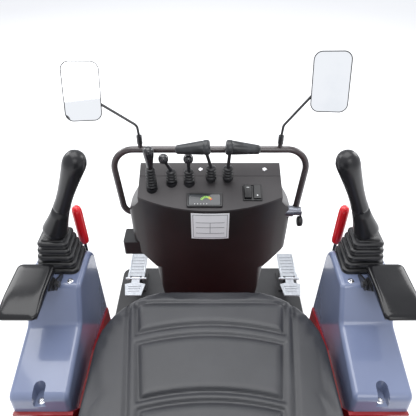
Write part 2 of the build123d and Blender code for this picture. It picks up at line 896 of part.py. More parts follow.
# travel levers: the boot's round foot is centred on the pivot, just clear of the panel
for side, sign in sides:
    x = lever_x[3] if sign < 0 else lever_x[4]
    y = lever_y[3]
    pivot = Vector(x, y, panel_z(y) + bead_radius + travel_boot_gap)
    shift = travel_grip_shift[0] if sign < 0 else travel_grip_shift[1]
    grip_end = Vector(x + shift, travel_grip_y, travel_grip_z)
    with BuildPart() as travel_boot:
        with BuildSketch(Plane.XZ.offset(-y)):
            with BuildLine():
                Line((x, pivot.Z - bead_radius), (x, pivot.Z + bead_radius))
                ThreePointArc(
                    (x, pivot.Z - bead_radius),
                    (x + bead_radius, pivot.Z),
                    (x, pivot.Z + bead_radius),
                )
            make_face()
        revolve(axis=Axis(pivot, (0, 0, 1)))
        with BuildSketch(Plane.YZ.offset(x - bead_radius - 1)):
            with Locations((pivot.Y, pivot.Z)):
                Circle(travel_pin_radius)
        extrude(amount=2 * bead_radius + 2)
        for ring in range(travel_beads):
            base_z = pivot.Z + bead_radius * 0.5 + ring * bead_pitch
            with BuildSketch(Plane.XY.offset(base_z)):
                with Locations((x, y)):
                    Circle(bead_radius - 3.5)
            extrude(amount=bead_pitch)
            with BuildSketch(Plane.XY.offset(base_z + bead_pitch * 0.35)):
                with Locations((x, y)):
                    Circle(bead_radius - 0.35 * ring)
            extrude(amount=bead_pitch * 0.65)
    keep(travel_boot, f"{side}_travel_boot")

    boot_top = Vector(x, y, pivot.Z + bead_radius * 0.5 + travel_beads * bead_pitch)
    with BuildPart() as travel_rod:
        with BuildSketch(Plane.XY.offset(boot_top.Z)):
            with Locations((x, y)):
                Circle(lever_rod_radius)
        with BuildSketch(Plane.XY.offset(grip_end.Z - travel_grip_wide * 0.5)):
            with Locations((grip_end.X, grip_end.Y)):
                Circle(lever_rod_radius)
        loft()
    keep(travel_rod, f"{side}_travel_lever")

    droop = radians(travel_grip_droop)
    grip_line = Vector(sign * cos(droop), 0, -sin(droop))
    grip_start = grip_end - grip_line * (travel_grip_wide * 0.6)
    with BuildPart() as travel_grip:
        with BuildSketch(upright_plane(grip_start, grip_line)):
            with BuildLine():
                Polyline(
                    (0, 0),
                    (travel_grip_wide - 3, 0),
                    (travel_grip_wide, 4),
                    (travel_grip_wide, 14),
                    (travel_grip_narrow + 1, travel_grip_length - 4),
                    (travel_grip_narrow - 2, travel_grip_length),
                    (0, travel_grip_length),
                    close=True,
                )
            make_face()
        revolve(axis=Axis(grip_start, grip_line))
        add(travel_rod.part, mode=Mode.SUBTRACT)
    keep(travel_grip, f"{side}_travel_grip")


# ---- key switch and side box --------------------------------------------------------------------
with BuildPart() as key_switch:
    with BuildSketch(Plane.YZ.offset(head_belly_half - 20)):
        with Locations((key_y, key_z)):
            Circle(key_radius)
    extrude(amount=key_length + 20)
    with BuildSketch(Plane.YZ.offset(head_belly_half - 20)):
        with Locations((key_y, key_z)):
            Circle(key_radius + 3)
    extrude(amount=30)
    add(head_block(0), mode=Mode.SUBTRACT)
keep(key_switch, "key_switch")

key_face = head_belly_half + key_length
with BuildPart() as ignition_key:
    # the key's blade stands in the barrel's face and its round head hangs below
    with BuildSketch(Plane.YZ.offset(key_face)):
        with Locations((key_y, key_z - key_radius)):
            Rectangle(3, 2 * key_radius)
    extrude(amount=4)
    with BuildSketch(Plane.YZ.offset(key_face - 4)):
        with Locations((key_y, key_z - 3 * key_radius)):
            RectangleRounded(26, 26, 11)
    extrude(amount=12)
keep(ignition_key, "ignition_key")

with BuildPart() as side_box:
    with BuildSketch(Plane.XY.offset(side_box_low)):
        with Locations((-head_belly_half + 12, side_box_y)):
            RectangleRounded(side_box_width + 28, side_box_depth, 5)
    extrude(amount=side_box_height)
    add(head_block(0), mode=Mode.SUBTRACT)
keep(side_box, "side_box")


# ---- grab rail and mirrors ----------------------------------------------------------------------
rail_rise = Vector(0, rail_top_y - rail_foot_y, rail_top_z - rail_foot_z)
rail_plane = upright_plane(Vector(0, rail_foot_y, rail_foot_z), rail_rise)
with BuildPart() as grab_rail:
    with BuildLine(rail_plane) as rail_path:
        FilletPolyline(
            (-head_belly_half + 28, -6),
            (-rail_foot_half, 6),
            (-rail_top_half, rail_rise.length),
            (rail_top_half, rail_rise.length),
            (rail_foot_half, 6),
            (head_belly_half - 28, -6),
            radius=[rail_foot_bend, rail_top_bend, rail_top_bend, rail_foot_bend],
        )
    with BuildSketch(Plane(origin=rail_path.line @ 0, z_dir=rail_path.line % 0)):
        Circle(rail_tube)
        Circle(rail_tube - rail_tube_wall, mode=Mode.SUBTRACT)
    sweep()
    add(head_block(0), mode=Mode.SUBTRACT)
keep(grab_rail, "grab_rail")

with BuildPart() as mirror_sockets:
    with BuildSketch(Plane.XY.offset(rail_top_z)):
        with Locations((-mirror_x, rail_top_y), (mirror_x, rail_top_y)):
            Circle(mirror_socket_radius)
    extrude(amount=mirror_socket_top - rail_top_z)
    with BuildSketch(Plane.YZ.offset(-mirror_x - 20)):
        with Locations((rail_top_y, rail_top_z)):
            Circle(rail_tube)
    extrude(amount=2 * mirror_x + 40, mode=Mode.SUBTRACT)
keep(mirror_sockets, "mirror_sockets")

for (side, sign), (centre_x, centre_z), roll in zip(sides, mirror_centres, mirror_rolls):
    yaw = radians(mirror_yaw)
    face = Plane(
        origin=(centre_x, rail_top_y, centre_z),
        x_dir=(cos(yaw), -sign * sin(yaw), 0),
        z_dir=(-sign * sin(yaw), -cos(yaw), 0),
    ).rotated((-mirror_tilt, 0, roll))
    with BuildPart() as mirror_head:
        with BuildSketch(face):
            RectangleRounded(mirror_width, mirror_height, mirror_corner)
        extrude(amount=-mirror_depth)
        with BuildSketch(face):
            RectangleRounded(
                mirror_width - 2 * mirror_lip,
                mirror_height - 2 * mirror_lip,
                mirror_corner - mirror_lip,
            )
        extrude(amount=-mirror_glass_depth, mode=Mode.SUBTRACT)
    keep(mirror_head, f"{side}_mirror_head")
    with BuildPart() as mirror_glass:
        with BuildSketch(face.offset(-mirror_glass_depth)):
            RectangleRounded(
                mirror_width - 2 * mirror_lip,
                mirror_height - 2 * mirror_lip,
                mirror_corner - mirror_lip,
            )
        extrude(amount=mirror_glass_depth - 0.2)
    keep(mirror_glass, f"{side}_mirror_glass")

    nut_low = mirror_socket_top + 0.5
    nut_top = nut_low + mirror_nut_height
    grip_x = -sign * (mirror_width / 2 - 5)
    grip_point = face.from_local_coords((grip_x, -mirror_height * 0.2, -mirror_depth / 2))
    with BuildPart() as mirror_stalk:
        with BuildSketch(Plane.XY.offset(nut_low)):
            with Locations((sign * mirror_x, rail_top_y)):
                Circle(mirror_nut_radius)
        extrude(amount=mirror_nut_height)
        with BuildLine() as stalk_path:
            FilletPolyline(
                (sign * mirror_x, rail_top_y, nut_top - 2),
                (sign * (mirror_x + 2), rail_top_y, mirror_bend_z),
                grip_point,
                radius=14,
            )
        with BuildSketch(Plane(origin=stalk_path.line @ 0, z_dir=stalk_path.line % 0)):
            Circle(mirror_rod)
        sweep()
        add(mirror_head.part, mode=Mode.SUBTRACT)
        add(mirror_glass.part, mode=Mode.SUBTRACT)
    keep(mirror_stalk, f"{side}_mirror_stalk")


# ---- pedals -------------------------------------------------------------------------------------
hinge_y = pedal_rear - 8.0
hinge_z = pedal_height - pedal_plate / 2
with BuildPart() as pedal_brackets:
    for x in pedal_x:
        with BuildSketch(Plane.XY.offset(deck_thickness)):
            with Locations((x, pedal_rear + pedal_length / 2)):
                Rectangle(46, pedal_length - 20)
        extrude(amount=6)
        with BuildSketch(Plane.YZ.offset(x - 14)):
            with BuildLine():
                Polyline(
                    (pedal_rear + 20, deck_thickness + 6),
                    (pedal_rear + pedal_length - 20, deck_thickness + 6),
                    (pedal_rear + pedal_length - 8, pedal_height - pedal_plate),
                    (pedal_rear + 8, pedal_height - pedal_plate),
                    close=True,
                )
            make_face()
        extrude(amount=28)
keep(pedal_brackets, "pedal_brackets")

with BuildPart() as pedals:
    for x in pedal_x:
        with BuildSketch(Plane.XY.offset(pedal_height - pedal_plate)):
            with Locations((x, pedal_rear + pedal_length / 2)):
                RectangleRounded(pedal_width, pedal_length, 5)
        extrude(amount=pedal_plate)
        for ear_x in (x - pedal_width / 2, x + pedal_width / 2 - 8):
            with BuildSketch(Plane.YZ.offset(ear_x)):
                with Locations((pedal_rear + 1, hinge_z)):
                    RectangleRounded(30, 13, 6)
            extrude(amount=8)
        with BuildSketch(Plane.YZ.offset(x - pedal_width / 2 - 6)):
            with Locations((hinge_y, hinge_z)):
                Circle(pedal_pin)
        extrude(amount=pedal_width + 12)
keep(pedals, "pedals")

for (side, sign), x in zip(sides, pedal_x):
    with BuildPart() as pedal_flap:
        with BuildSketch(Plane.XY.offset(hinge_z - 2.5)):
            with BuildLine():
                neck_y = hinge_y - 20
                Polyline(
                    (x - flap_neck / 2, hinge_y),
                    (x - flap_neck / 2, neck_y),
                    (x - flap_width / 2, neck_y - 6),
                    (x - flap_width / 2 + 8, neck_y - flap_length + 14),
                    (x + flap_width / 2 - 8, neck_y - flap_length + 14),
                    (x + flap_width / 2, neck_y - 6),
                    (x + flap_neck / 2, neck_y),
                    (x + flap_neck / 2, hinge_y),
                    close=True,
                )
            make_face()
        extrude(amount=5)
        with BuildSketch(Plane.YZ.offset(x - flap_neck / 2)):
            with Locations((hinge_y, hinge_z)):
                Circle(pedal_pin + 2.5)
        extrude(amount=flap_neck)
        with BuildSketch(Plane.YZ.offset(x - flap_neck / 2 - 1)):
            with Locations((hinge_y, hinge_z)):
                Circle(pedal_pin + running_clearance)
        extrude(amount=flap_neck + 2, mode=Mode.SUBTRACT)
    keep(pedal_flap, f"{side}_pedal_flap")
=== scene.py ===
import json
from math import atan, cos, radians, sin

import bpy
from mathutils import Matrix, Vector


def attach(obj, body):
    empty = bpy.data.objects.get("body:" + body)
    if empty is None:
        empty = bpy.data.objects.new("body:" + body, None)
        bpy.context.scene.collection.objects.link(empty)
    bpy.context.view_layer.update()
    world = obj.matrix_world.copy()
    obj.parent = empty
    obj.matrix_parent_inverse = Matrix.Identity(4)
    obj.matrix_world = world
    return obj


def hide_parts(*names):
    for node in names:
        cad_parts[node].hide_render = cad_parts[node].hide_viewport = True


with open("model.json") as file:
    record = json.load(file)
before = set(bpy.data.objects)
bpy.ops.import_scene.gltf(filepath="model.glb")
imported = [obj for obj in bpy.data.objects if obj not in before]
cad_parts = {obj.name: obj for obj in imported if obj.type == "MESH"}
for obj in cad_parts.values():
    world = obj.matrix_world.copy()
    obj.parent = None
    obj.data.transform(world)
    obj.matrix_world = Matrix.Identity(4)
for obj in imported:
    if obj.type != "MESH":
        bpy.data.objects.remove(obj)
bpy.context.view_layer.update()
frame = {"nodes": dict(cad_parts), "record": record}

MM = 0.001
SIDES = (("left", -1), ("right", 1))

# places that several pieces share, in millimetres
POD_TOP = 525
STICK_X = 300
STICK_Y = 55
STICK_FOOT = 600
STICK_LEAN = (90, -30, 197)
TIERS = 5
TIER_HEIGHT = 15.0
LOCK_X = 272
LOCK_Y = 118
PANEL_LIP_Y = 206.0
PANEL_LIP_Z = 531.0
PANEL_RISE = 0.42
PANEL_TILT = atan(PANEL_RISE)
LEVER_Y = 277
OUTER_LEVER = (-138, 262)
BEAD_PITCH = 7.6
BOOT_LIP = 4.7
TRAVEL_X = {"left": 2, "right": 42}
TRAVEL_GRIP_X = {"left": -10, "right": 44}
DISPLAY_SPOT = (-13, 232)
ROCKER_SPOT = (100, 251)
PEDAL_X = {"left": -243, "right": 263}
SEAT_CENTRE_Y = -138.5
SEAT_UNDERSIDE = 341
BACK_HINGE = (0, -376, 432)
BACK_RECLINE = 12


# ---- shader maths -------------------------------------------------------------------------------
class Value:
    """A shader socket that Python expressions can work on."""

    def __init__(self, finish, socket):
        self.finish = finish
        self.socket = socket

    def math(self, operation, *values):
        return self.finish.node("ShaderNodeMath", {"operation": operation}, dict(enumerate(values)))

    def __add__(self, other):
        return self.math("ADD", self, other)

    def __sub__(self, other):
        return self.math("SUBTRACT", self, other)

    def __mul__(self, other):
        return self.math("MULTIPLY", self, other)

    def __rsub__(self, other):
        return self.math("SUBTRACT", other, self)

    __radd__ = __add__
    __rmul__ = __mul__

    def between(self, low, high):
        """0 below low, 1 above high, and a smooth step between."""
        steps = {"interpolation_type": "SMOOTHSTEP"}
        return self.finish.node("ShaderNodeMapRange", steps, {0: self, 1: low, 2: high})


class Finish:
    """A material made of nodes; plain numbers stay on the shader's own sockets."""

    def __init__(self, name, **constants):
        self.material = bpy.data.materials.new(name)
        self.material.use_nodes = True
        self.tree = self.material.node_tree
        self.shader = self.tree.nodes["Principled BSDF"]
        self.place = Value(self, self.tree.nodes.new("ShaderNodeTexCoord").outputs["Object"])
        for socket, value in constants.items():
            if socket == "Base_Color":
                self.material.diffuse_color = (*value[:3], 1)
                value = (*value[:3], 1)
            self.shader.inputs[socket.replace("_", " ")].default_value = value

    def node(self, kind, settings=None, inputs=None, out=0):
        made = self.tree.nodes.new(kind)
        for key, value in (settings or {}).items():
            setattr(made, key, value)
        for key, value in (inputs or {}).items():
            if isinstance(value, Value):
                self.tree.links.new(value.socket, made.inputs[key])
            else:
                made.inputs[key].default_value = value
        return Value(self, made.outputs[out])

    def feed(self, socket, value):
        self.tree.links.new(value.socket, self.shader.inputs[socket])
        return self

    def noise(self, scale, detail=3.0, stretch=None):
        place = self.place
        if stretch:
            place = self.node("ShaderNodeMapping", None, {0: place, 3: stretch})
        return self.node("ShaderNodeTexNoise", None, {"Vector": place, "Scale": scale, "Detail": detail})

    def cells(self, scale):
        """Rounded cells with dark lines between, as in grained vinyl."""
        edges = {"feature": "DISTANCE_TO_EDGE"}
        return self.node("ShaderNodeTexVoronoi", edges, {"Vector": self.place, "Scale": scale})

    def mix(self, factor, low, high):
        """A colour between low and high."""
        colours = {0: factor, 6: low, 7: high}
        return self.node("ShaderNodeMix", {"data_type": "RGBA"}, colours, out=2)

    def tint(self, factor, low, high):
        return self.feed("Base Color", self.mix(factor, (*low, 1), (*high, 1)))

    def rough(self, factor, low, high):
        return self.feed("Roughness", factor * (high - low) + low)

    def bump(self, height, distance, strength=1.0):
        inputs = {"Height": height, "Distance": distance, "Strength": strength}
        return self.feed("Normal", self.node("ShaderNodeBump", None, inputs))


# ---- finishes -----------------------------------------------------------------------------------
def grained_vinyl(name, low, high, roughness=(0.4, 0.52), grain=650):
    """Grained upholstery skin: fine cells, and a slow change of tone where it is handled."""
    skin = Finish(name, Specular_IOR_Level=0.45)
    cells = skin.cells(grain).between(0.0, 0.22)
    slow = skin.noise(9, 4)
    skin.tint(slow.between(0.35, 0.7), low, high)
    skin.rough(slow.between(0.3, 0.75), *roughness)
    return skin.bump(cells + skin.noise(1800, 2) * 0.5, 0.00012, 0.55).material


def moulding(name, low, high, roughness, texture=900, depth=0.00005, coat=0.0, ripple=5):
    """Moulded plastic: fine spark-eroded grain, faint flow marks, optional gloss coat."""
    plastic = Finish(name, Coat_Weight=coat, Coat_Roughness=0.06, Specular_IOR_Level=0.35)
    slow = plastic.noise(ripple, 3)
    plastic.tint(slow.between(0.3, 0.7), low, high)
    plastic.rough(plastic.noise(60, 4), *roughness)
    return plastic.bump(plastic.noise(texture, 2) + slow * 0.6, depth, 0.5).material


def rubber(name, low=(0.007, 0.007, 0.008), high=(0.016, 0.016, 0.018), roughness=(0.28, 0.42)):
    """Matt rubber with a light bloom."""
    skin = Finish(name, Specular_IOR_Level=0.4)
    bloom = skin.noise(45, 5).between(0.35, 0.75)
    skin.tint(bloom, low, high)
    skin.rough(bloom, *roughness)
    return skin.bump(skin.noise(1400, 3), 0.00008, 0.5).material


def paint(name, low, high, roughness=(0.16, 0.3), coat=0.6, peel=0.00004):
    """Sprayed paint with a little orange peel."""
    coat_finish = Finish(name, Coat_Weight=coat, Coat_Roughness=0.08)
    slow = coat_finish.noise(7, 3)
    coat_finish.tint(slow.between(0.3, 0.7), low, high)
    coat_finish.rough(coat_finish.noise(90, 3), *roughness)
    return coat_finish.bump(coat_finish.noise(420, 2), peel, 0.5).material


def metal(name, low, high, roughness, stretch=(1, 1, 1), scale=300):
    """Bare or plated metal with fine working marks along one way."""
    bare = Finish(name, Metallic=1.0)
    marks = bare.noise(scale, 4, stretch)
    bare.tint(marks.between(0.3, 0.7), low, high)
    bare.rough(marks.between(0.25, 0.8), *roughness)
    return bare.bump(marks, 0.00003, 0.5).material


def silvered_glass(name):
    """Silvered glass with a faint film of dust."""
    glass = Finish(name, Metallic=1.0, Specular_IOR_Level=0.5)
    film = glass.noise(14, 4)
    glass.tint(film.between(0.45, 0.8), (0.93, 0.94, 0.95), (0.86, 0.88, 0.9))
    return glass.rough(film.between(0.5, 0.85), 0.015, 0.05).material


def make_finishes():
    return {
        "seat_vinyl": grained_vinyl("seat_vinyl", (0.026, 0.027, 0.031), (0.038, 0.039, 0.044), (0.34, 0.46)),
        "pad_vinyl": moulding(
            "pad_vinyl", (0.004, 0.004, 0.005), (0.007, 0.007, 0.008), (0.14, 0.22), 900, 0.00001
        ),
        "blue_grey_plastic": moulding(
            "blue_grey_plastic", (0.12, 0.145, 0.235), (0.15, 0.18, 0.28), (0.16, 0.26), 500, 0.000015, 0.6
        ),
        "brown_black_plastic": moulding(
            "brown_black_plastic", (0.013, 0.0105, 0.011), (0.021, 0.0165, 0.0175), (0.3, 0.44),
            900, 0.00005, 0.1
        ),
        "panel_plastic": moulding(
            "panel_plastic", (0.032, 0.029, 0.031), (0.044, 0.04, 0.042), (0.44, 0.56), 1100, 0.0001
        ),
        "black_plastic": moulding("black_plastic", (0.012, 0.012, 0.013), (0.024, 0.024, 0.026), (0.34, 0.5)),
        "grip_plastic": moulding(
            "grip_plastic", (0.006, 0.006, 0.007), (0.012, 0.012, 0.014), (0.26, 0.36), 1300
        ),
        "gloss_knob": moulding(
            "gloss_knob", (0.008, 0.008, 0.01), (0.016, 0.016, 0.019), (0.12, 0.2), coat=0.5
        ),
        "gloss_black": moulding("gloss_black", (0.006, 0.006, 0.007), (0.01, 0.01, 0.012), (0.24, 0.34)),
        "gauge_green": moulding("gauge_green", (0.25, 0.5, 0.08), (0.3, 0.55, 0.1), (0.3, 0.4)),
        "gauge_amber": moulding("gauge_amber", (0.6, 0.5, 0.06), (0.65, 0.55, 0.08), (0.3, 0.4)),
        "gauge_red": moulding("gauge_red", (0.6, 0.03, 0.02), (0.7, 0.05, 0.03), (0.3, 0.4)),
        "mark_white": moulding("mark_white", (0.6, 0.62, 0.62), (0.7, 0.7, 0.7), (0.4, 0.5)),
        "rule_grey": moulding("rule_grey", (0.12, 0.12, 0.14), (0.18, 0.18, 0.2), (0.4, 0.5)),
        "display_black": moulding(
            "display_black", (0.015, 0.018, 0.022), (0.022, 0.026, 0.032), (0.15, 0.25), coat=0.4
        ),
        "red_plastic": moulding(
            "red_plastic", (0.5, 0.004, 0.01), (0.62, 0.008, 0.016), (0.16, 0.26), coat=0.6
        ),
        "label_white": moulding(
            "label_white", (0.78, 0.78, 0.8), (0.84, 0.84, 0.86), (0.25, 0.35), 500, 0.00002, 0.3
        ),
        "black_rubber": rubber("black_rubber"),
        "grip_rubber": rubber("grip_rubber", (0.016, 0.017, 0.019), (0.034, 0.036, 0.04)),
        "black_steel": paint("black_steel", (0.012, 0.012, 0.013), (0.022, 0.022, 0.024), (0.28, 0.42), 0.2),
        "rail_paint": paint("rail_paint", (0.032, 0.024, 0.025), (0.044, 0.034, 0.035), (0.2, 0.32), 0.4),
        "red_paint": paint("red_paint", (0.2, 0.003, 0.006), (0.26, 0.005, 0.009), (0.3, 0.4), 0.15),
        "zinc_steel": metal("zinc_steel", (0.42, 0.43, 0.45), (0.55, 0.56, 0.58), (0.3, 0.45), (8, 1, 8)),
        "bright_screws": metal("bright_screws", (0.7, 0.7, 0.72), (0.85, 0.85, 0.87), (0.14, 0.25)),
        "grey_metal": metal("grey_metal", (0.16, 0.17, 0.2), (0.24, 0.25, 0.28), (0.3, 0.42)),
        "pedal_alloy": metal("pedal_alloy", (0.42, 0.44, 0.47), (0.55, 0.57, 0.6), (0.34, 0.5)),
        "mirror_glass": silvered_glass("mirror_glass"),
    }


FINISHES = make_finishes()


def dress_cad_nodes():
    """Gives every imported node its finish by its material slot."""
    for entry in frame["record"]["subparts"]:
        node = frame["nodes"][entry["node"]]
        for holder in node.material_slots:
            holder.material = FINISHES[entry["material_slot"]]


# ---- modelling helpers --------------------------------------------------------------------------
def edit(act="SELECT"):
    """Enters edit mode on the active object with everything selected, or nothing."""
    bpy.ops.object.mode_set(mode="EDIT")
    bpy.ops.mesh.select_all(action=act)


def stack(name, rings, corner=0.0, sides=40, segments=6):
    """A form extruded from one outline, ring by ring: (height, half width, half depth) in mm."""
    bpy.ops.object.select_all(action="DESELECT")
    height, wide, deep = rings[0]
    if corner:
        bpy.ops.mesh.primitive_plane_add(size=2)
    else:
        bpy.ops.mesh.primitive_circle_add(vertices=sides, radius=1, fill_type="NGON")
    bpy.context.object.name = name
    edit()
    bpy.ops.transform.resize(value=(wide * MM, deep * MM, 1))
    bpy.ops.transform.translate(value=(0, 0, height * MM))
    if corner:
        bpy.ops.mesh.bevel(affect="VERTICES", offset=corner * MM, segments=segments)
        bpy.ops.mesh.select_all(action="SELECT")
    for next_height, next_wide, next_deep in rings[1:]:
        step = (0, 0, (next_height - height) * MM)
        bpy.ops.mesh.extrude_region_move(TRANSFORM_OT_translate={"value": step})
        bpy.ops.transform.resize(
            value=(next_wide / wide, next_deep / deep, 1), center_override=(0, 0, next_height * MM)
        )
        height, wide, deep = next_height, next_wide, next_deep
    bpy.ops.object.mode_set(mode="OBJECT")
    return bpy.context.object


def round_stack(name, rings, sides=40):
    return stack(name, [(height, radius, radius) for height, radius in rings], 0.0, sides)


def block(name, size, centre, bevel, segments=3):
    """A block with rounded edges, from its size and centre in mm."""
    bpy.ops.object.select_all(action="DESELECT")
    bpy.ops.mesh.primitive_cube_add(size=1)
    bpy.context.object.name = name
    edit()
    bpy.ops.transform.resize(value=[side * MM for side in size])
    bpy.ops.mesh.bevel(offset=bevel * MM, segments=segments, affect="EDGES")
    bpy.ops.object.mode_set(mode="OBJECT")
    return place(bpy.context.object, centre)


def place(piece, foot=(0, 0, 0), towards=None, turn=0.0):
    """Moves a piece built at the origin to its foot in mm, with its Z turned to point along towards."""
    pose = Matrix.Translation(Vector(foot) * MM)
    if towards is not None:
        pose = pose @ Vector((0, 0, 1)).rotation_difference(Vector(towards)).to_matrix().to_4x4()
    piece.matrix_world = pose @ Matrix.Rotation(radians(turn), 4, "Z")
    apply_place(piece)
    return piece


def apply_place(piece):
    bpy.ops.object.select_all(action="DESELECT")
    piece.select_set(True)
    bpy.context.view_layer.objects.active = piece
    bpy.ops.object.transform_apply(location=True, rotation=True, scale=True)


def apply_modifier(piece, kind, **settings):
    bpy.ops.object.select_all(action="DESELECT")
    piece.select_set(True)
    bpy.context.view_layer.objects.active = piece
    modifier = piece.modifiers.new(kind.lower(), kind)
    for name, value in settings.items():
        setattr(modifier, name, value)
    bpy.ops.object.modifier_apply(modifier=modifier.name)
    return piece


def join(name, parts):
    bpy.ops.object.select_all(action="DESELECT")
    for part in parts:
        part.select_set(True)
    bpy.context.view_layer.objects.active = parts[0]
    bpy.ops.object.join()
    bpy.context.object.name = name
    return bpy.context.object


def fit(piece, slot, body="station", nodes=(), angle=38):
    """Closes a finished piece: outward normals, smooth shading, finish, body and the nodes it stands for."""
    bpy.ops.object.select_all(action="DESELECT")
    piece.select_set(True)
    bpy.context.view_layer.objects.active = piece
    edit()
    bpy.ops.mesh.normals_make_consistent(inside=False)
    bpy.ops.object.mode_set(mode="OBJECT")
    bpy.ops.object.shade_smooth_by_angle(angle=radians(angle))
    if not piece.data.materials:
        piece.data.materials.append(FINISHES[slot])
    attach(piece, body)
    if nodes:
        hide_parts(*nodes)
    return piece


# ---- joysticks and their bellows ----------------------------------------------------------------
# (height, radius) up the joystick: a flared cone, a seam and a grip with a round head
STICK = (
    (9, 19), (10.5, 22.6), (13, 23.6), (20, 22.6), (40, 19.2), (60, 16.6), (73, 15.4), (75, 13.8),
    (78.5, 13.8), (80, 15.2), (84, 15.2), (100, 14.2), (125, 14.5), (150, 16), (175, 18), (190, 19.3),
    (199, 19.2), (206, 17.4),
    (212, 14.4), (216.2, 10), (218.4, 4),
)


def make_joysticks():
    for side, sign in SIDES:
        lean = (-sign * STICK_LEAN[0], STICK_LEAN[1], STICK_LEAN[2])
        stick = round_stack(f"{side}_joystick_skin", STICK, 48)
        place(stick, (sign * STICK_X, STICK_Y, STICK_FOOT), lean)
        fit(stick, "grip_plastic", nodes=[f"{side}_joystick"], angle=50)


def make_bellows():
    """Five square tiers each, with a round lip above a deep groove."""
    both = []
    for side, sign in SIDES:
        rings = [(0.4, 41, 38)]
        for tier in range(TIERS):
            low, half = tier * TIER_HEIGHT, 41.0 - tier * 2.8
            deep = half - 3
            rings += [
                (low + 1.2, half - 1.2, deep - 1.2), (low + 3, half, deep),
                (low + 7.5, half - 0.4, deep - 0.4),
                (low + 9.6, half - 2.4, deep - 2.4), (low + 10.6, half - 6.5, deep - 6.5),
                (low + 12.6, half - 7.6, deep - 7.6),
            ]
        rings += [(74.6, 22, 20), (75.4, 20, 18)]
        bellows = stack(f"{side}_bellows", rings, 13, segments=7)
        both.append(place(bellows, (sign * STICK_X, STICK_Y, POD_TOP)))
    fit(join("joystick_bellows_skin", both), "black_rubber", nodes=["joystick_bellows"], angle=40)


# ---- lock levers, hand levers and travel levers -------------------------------------------------
def make_lock_grips():
    rings = (
        (516, 6), (517.2, 8.8), (520, 10.1), (526, 10.5), (560, 10.5), (596, 10.5), (606, 10), (611.5, 8.4),
        (614.8, 5.6), (616, 2.2),
    )
    grips = []
    for side, sign in SIDES:
        grips.append(place(round_stack(f"{side}_grip", rings, 32), (sign * LOCK_X, LOCK_Y, 0)))
    fit(join("lock_grip_skins", grips), "red_plastic", nodes=["lock_grips"], angle=60)


def bead_rings(low, count, radius, pitch=BEAD_PITCH, narrow=0.35):
    """Rings of a ribbed boot: round beads with narrow necks between them."""
    rings = []
    for bead in range(count):
        base, wide = low + bead * pitch, radius - narrow * bead
        rings += [
            (base + 0.4, wide - 3.6), (base + pitch * 0.22, wide - 1.2), (base + pitch * 0.42, wide - 0.1),
            (base + pitch * 0.62, wide - 0.1), (base + pitch * 0.82, wide - 1.2),
            (base + pitch * 0.98, wide - 3.6),
        ]
    return rings


def panel_height(y):
    """Height of the console's sloping top at y."""
    return PANEL_LIP_Z + (y - PANEL_LIP_Y) * PANEL_RISE


def make_lever_boots():
    boots = []
    for x, y, count in ((*OUTER_LEVER, 7), (-92, LEVER_Y, 4), (-50, LEVER_Y, 4)):
        low = panel_height(y) - BOOT_LIP
        rings = [(low - 1, 13.4), (low + 4, 13.6), (low + 9.3, 13.2)] + bead_rings(low + 9.4, count, 13.2)
        boots.append(place(round_stack(f"boot_{count}", rings, 36), (x, y, 0)))
    fit(join("lever_boot_skins", boots), "black_rubber", nodes=["lever_boots"], angle=50)


def make_knobs():
    """A pear knob on the outer lever and round ones on the next two."""
    pear_foot = panel_height(OUTER_LEVER[1]) + BOOT_LIP + 7 * BEAD_PITCH
    rise = 668 - pear_foot
    pear = round_stack(
        "pear_knob",
        [(0, 6), (3, 7.4), (10, 7.6), (rise - 30, 10.4), (rise - 20, 12), (rise - 12, 12.4), (rise - 6, 11.4),
         (rise - 2, 8), (rise - 0.2, 3)],
        36,
    )
    parts = [place(pear, (*OUTER_LEVER, pear_foot))]
    for x, lean in ((-92, -15), (-50, 0)):
        foot = Vector((x, LEVER_Y, panel_height(LEVER_Y) + BOOT_LIP + 4 * BEAD_PITCH))
        along = Vector((x + lean, 272, 631)) - foot
        reach = along.length
        ball = [(reach + 12 * sin(radians(turn)), 12 * cos(radians(turn))) for turn in range(-68, 80, 12)]
        stem = round_stack("ball_knob", [(-2, 4), (reach - 16, 4), (reach - 11.8, 4.4)] + ball, 36)
        parts.append(place(stem, foot, along))
    fit(join("hand_lever_skins", parts), "gloss_knob", nodes=["hand_levers"], angle=60)


def make_travel_levers():
    for side, sign in SIDES:
        pivot = panel_height(LEVER_Y) + 15
        ball = [(-13, 2), (-12, 6), (-9.6, 9), (-5, 12), (0, 13), (4, 12.6), (6.6, 11)]
        boot = round_stack(f"{side}_travel_boot_skin", ball + bead_rings(6.6, 3, 13), 36)
        place(boot, (TRAVEL_X[side], LEVER_Y, pivot))
        fit(boot, "black_rubber", f"{side}_travel", [f"{side}_travel_boot"], 50)
        droop = radians(5)
        line = Vector((sign * cos(droop), 0, -sin(droop)))
        start = Vector((TRAVEL_GRIP_X[side], 265, 665)) - line * 10.2
        profile = (
            (0, 11), (0.8, 14), (3, 16.2), (6, 17), (12, 17), (14, 16.4), (15.2, 15.4), (17, 15.9),
            (30, 14.6),
            (50, 12.6), (71, 10.6), (75, 9.8), (77.4, 7.4), (78, 4),
        )
        grip = place(round_stack(f"{side}_travel_grip_skin", profile, 44), start, line)
        fit(grip, "grip_rubber", f"{side}_travel", [f"{side}_travel_grip"], 50)


make_joysticks()
make_bellows()
make_lock_grips()
make_lever_boots()
make_knobs()
make_travel_levers()


